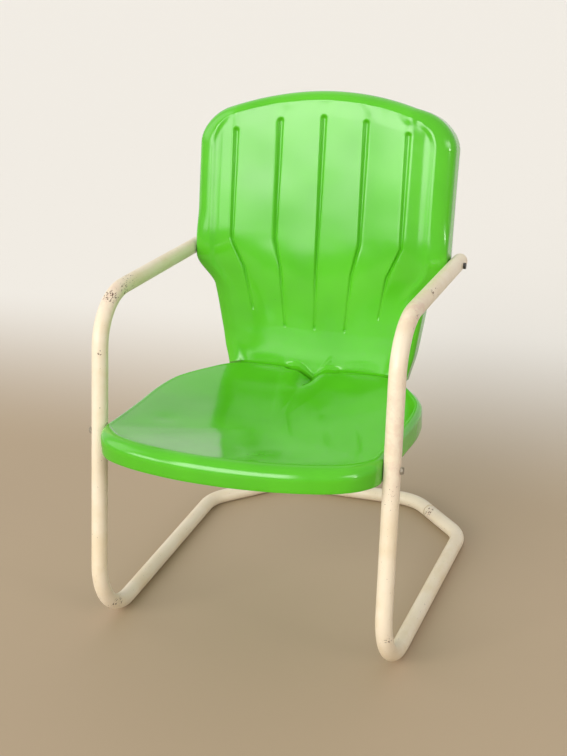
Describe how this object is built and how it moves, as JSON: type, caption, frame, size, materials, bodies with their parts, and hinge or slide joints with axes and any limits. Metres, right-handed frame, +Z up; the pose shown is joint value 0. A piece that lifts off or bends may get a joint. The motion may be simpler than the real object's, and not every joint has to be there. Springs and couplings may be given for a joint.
{
  "type": "metal lawn chair",
  "caption": "Metal lawn armchair: grooved green shell back and dished green seat on a bent cream tube frame with flat floor runners, paint chipped and rust-speckled.",
  "frame": {"origin": "on the floor under the middle of the whole chair", "axes": "+Z up, -Y to the front of the chair, +X to the left hand of a person who sits in it"},
  "size_m": [0.58, 0.731, 0.8963],
  "materials": {
    "green_enamel": "gloss enamel",
    "cream_paint": "semi-gloss, chipped and rust-speckled",
    "rusty_steel": "rusted",
    "dark_steel": "dull, dark"
  },
  "bodies": {
    "root": {"frame_tube_long": "cream_paint", "frame_tube_short": "cream_paint", "arm_end_cap_left": "cream_paint", "arm_end_cap_right": "cream_paint", "seat_pan": "green_enamel", "back_shell": "green_enamel", "seat_bolt_left": "rusty_steel", "arm_bolt_left": "dark_steel", "seat_washer_left": "rusty_steel", "arm_washer_left": "dark_steel", "seat_nut_left": "rusty_steel", "arm_nut_left": "dark_steel", "rear_bolt_left_inner": "dark_steel", "rear_nut_left_inner": "dark_steel", "rear_bolt_left_outer": "dark_steel", "rear_nut_left_outer": "dark_steel", "seat_bolt_right": "rusty_steel", "arm_bolt_right": "dark_steel", "seat_washer_right": "rusty_steel", "arm_washer_right": "dark_steel", "seat_nut_right": "rusty_steel", "arm_nut_right": "dark_steel", "rear_bolt_right_inner": "dark_steel", "rear_nut_right_inner": "dark_steel", "rear_bolt_right_outer": "dark_steel", "rear_nut_right_outer": "dark_steel"}
  },
  "joints": []
}
